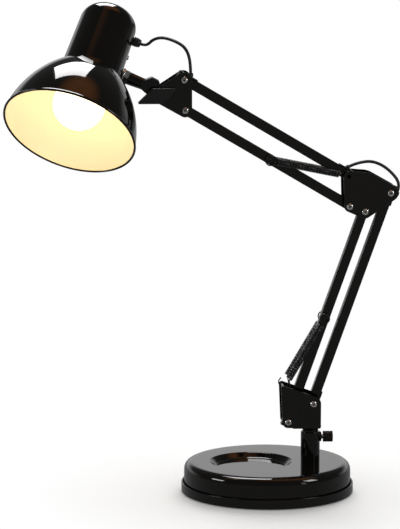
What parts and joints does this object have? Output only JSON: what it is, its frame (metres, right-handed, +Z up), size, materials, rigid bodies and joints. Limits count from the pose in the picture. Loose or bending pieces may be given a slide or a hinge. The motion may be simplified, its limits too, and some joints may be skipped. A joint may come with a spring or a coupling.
{
  "type": "desk lamp",
  "caption": "Spring-balanced desk lamp: bell shade on a tilting stem, jointed parallelogram arms of square tube, swivelling shoulder on a post and a round weighted base with a dish",
  "frame": {"origin": "on the desk, under the middle of the round base", "axes": "+Z is up, the arms lie in the XZ plane with the post on the +X side of the base and the shade over -X, and the shade opens towards -X, -Y and down"},
  "size_m": [0.4203, 0.2027, 0.5248],
  "materials": {
    "black_enamel": "glossy black enamel",
    "bright_steel": "bright plated",
    "zinc_steel": "zinc plated",
    "spring_steel": "dark drawn wire",
    "black_spacer": "satin black",
    "iron": "as cast",
    "foam_pad": "matte foam",
    "black_plastic": "moulded",
    "cord_sheath": "smooth sheath",
    "lamp_glass": "frosted",
    "lamp_cap": "plain"
  },
  "bodies": {
    "base": {"base_pad": "foam_pad", "tray_screws": "zinc_steel", "base_tray": "black_enamel", "base_weight": "iron", "base_shell": "black_enamel", "post_tube": "black_enamel", "post_washer": "zinc_steel", "post_nut": "zinc_steel", "post_boss": "black_enamel"},
    "clamp": {"clamp_screw": "zinc_steel", "clamp_knob": "black_plastic"},
    "shoulder": {"shoulder_bracket": "black_enamel", "swivel_spigot": "black_enamel", "spring_anchor_pin": "black_enamel", "shoulder_bolts": "bright_steel", "shoulder_nuts": "zinc_steel", "shoulder_spacers": "black_spacer"},
    "lower_arm": {"lower_arm_tube": "black_enamel", "lower_spring_pin": "black_enamel", "lower_spring_near": "spring_steel", "lower_spring_far": "spring_steel"},
    "lower_link": {"lower_link_tube": "black_enamel", "lower_link_head_guide": "black_plastic", "lower_link_foot_guide": "black_plastic"},
    "elbow": {"elbow_plate_near": "black_enamel", "elbow_plate_far": "black_enamel", "elbow_bolts": "bright_steel", "elbow_nuts": "zinc_steel", "elbow_rivet": "black_enamel", "elbow_spacers": "black_spacer"},
    "upper_arm": {"upper_arm_tube": "black_enamel", "upper_spring_pin": "black_enamel", "upper_spring_near": "spring_steel", "upper_spring_far": "spring_steel"},
    "upper_link": {"upper_link_tube": "black_enamel", "upper_link_head_guide": "black_plastic", "upper_link_elbow_guide": "black_plastic", "head_cord": "cord_sheath", "elbow_cord": "cord_sheath"},
    "head_bracket": {"head_plate_near": "black_enamel", "head_plate_far": "black_enamel", "head_bolts": "bright_steel", "head_nuts": "zinc_steel", "head_spacers": "black_spacer", "tilt_nut": "zinc_steel"},
    "wing": {"wing_knob": "black_plastic", "wing_bolt": "zinc_steel"},
    "stem": {"head_stem": "black_enamel", "stem_knuckle": "black_enamel", "stem_washer": "bright_steel", "stem_locknut": "bright_steel", "stem_nut": "zinc_steel"},
    "head": {"neck_cap": "black_enamel", "shade": "black_enamel", "lampholder": "black_plastic", "shade_ring": "black_plastic", "bulb_glass": "lamp_glass", "bulb_cap": "lamp_cap", "neck_screw": "zinc_steel", "cable_gland": "black_plastic"}
  },
  "joints": [
    {"name": "clamp_turn", "type": "hinge", "parent": "base", "child": "clamp", "pos_m": [0.061, 0, 0.0589], "axis": [1, 0, 0], "continuous": true},
    {"name": "swivel", "type": "hinge", "parent": "base", "child": "shoulder", "pos_m": [0.0465, 0, 0.066], "axis": [0, 0, 1], "continuous": true},
    {"name": "lower_lift", "type": "hinge", "parent": "shoulder", "child": "lower_link", "pos_m": [0.0484, 0, 0.0973], "axis": [0, 1, 0], "range_deg": [-14, 15]},
    {"name": "lower_arm_lift", "type": "hinge", "parent": "shoulder", "child": "lower_arm", "pos_m": [0.0213, 0, 0.0776], "axis": [0, 1, 0], "range_deg": [-14, 15], "deforming": ["lower_spring_near", "lower_spring_far"]},
    {"name": "elbow_level", "type": "hinge", "parent": "lower_link", "child": "elbow", "pos_m": [0.12902, 0, 0.3241], "axis": [0, 1, 0], "range_deg": [-15, 14]},
    {"name": "upper_lift", "type": "hinge", "parent": "elbow", "child": "upper_link", "pos_m": [0.08462, 0, 0.3419], "axis": [0, 1, 0], "range_deg": [-60, 30], "deforming": ["elbow_cord"]},
    {"name": "upper_arm_lift", "type": "hinge", "parent": "elbow", "child": "upper_arm", "pos_m": [0.08562, 0, 0.31], "axis": [0, 1, 0], "range_deg": [-60, 30], "deforming": ["upper_spring_near", "upper_spring_far"]},
    {"name": "head_level", "type": "hinge", "parent": "upper_link", "child": "head_bracket", "pos_m": [-0.08986, 0, 0.44467], "axis": [0, 1, 0], "range_deg": [-30, 60]},
    {"name": "wing_turn", "type": "hinge", "parent": "head_bracket", "child": "wing", "pos_m": [-0.11846, 0, 0.42827], "axis": [0, 1, 0], "continuous": true},
    {"name": "head_tilt", "type": "hinge", "parent": "head_bracket", "child": "stem", "pos_m": [-0.11846, 0, 0.42827], "axis": [0, 1, 0], "range_deg": [-40, 45], "deforming": ["head_cord"]},
    {"name": "head_turn", "type": "hinge", "parent": "stem", "child": "head", "pos_m": [-0.1844, 0, 0.46038], "axis": [0.9278, 0, -0.373], "range_deg": [-50, 125]}
  ],
  "couplings": [
    {"joint": "lower_arm_lift", "follows": "lower_lift", "ratio": 1},
    {"joint": "elbow_level", "follows": "lower_lift", "ratio": -1},
    {"joint": "upper_arm_lift", "follows": "upper_lift", "ratio": 1},
    {"joint": "head_level", "follows": "upper_lift", "ratio": -1}
  ]
}
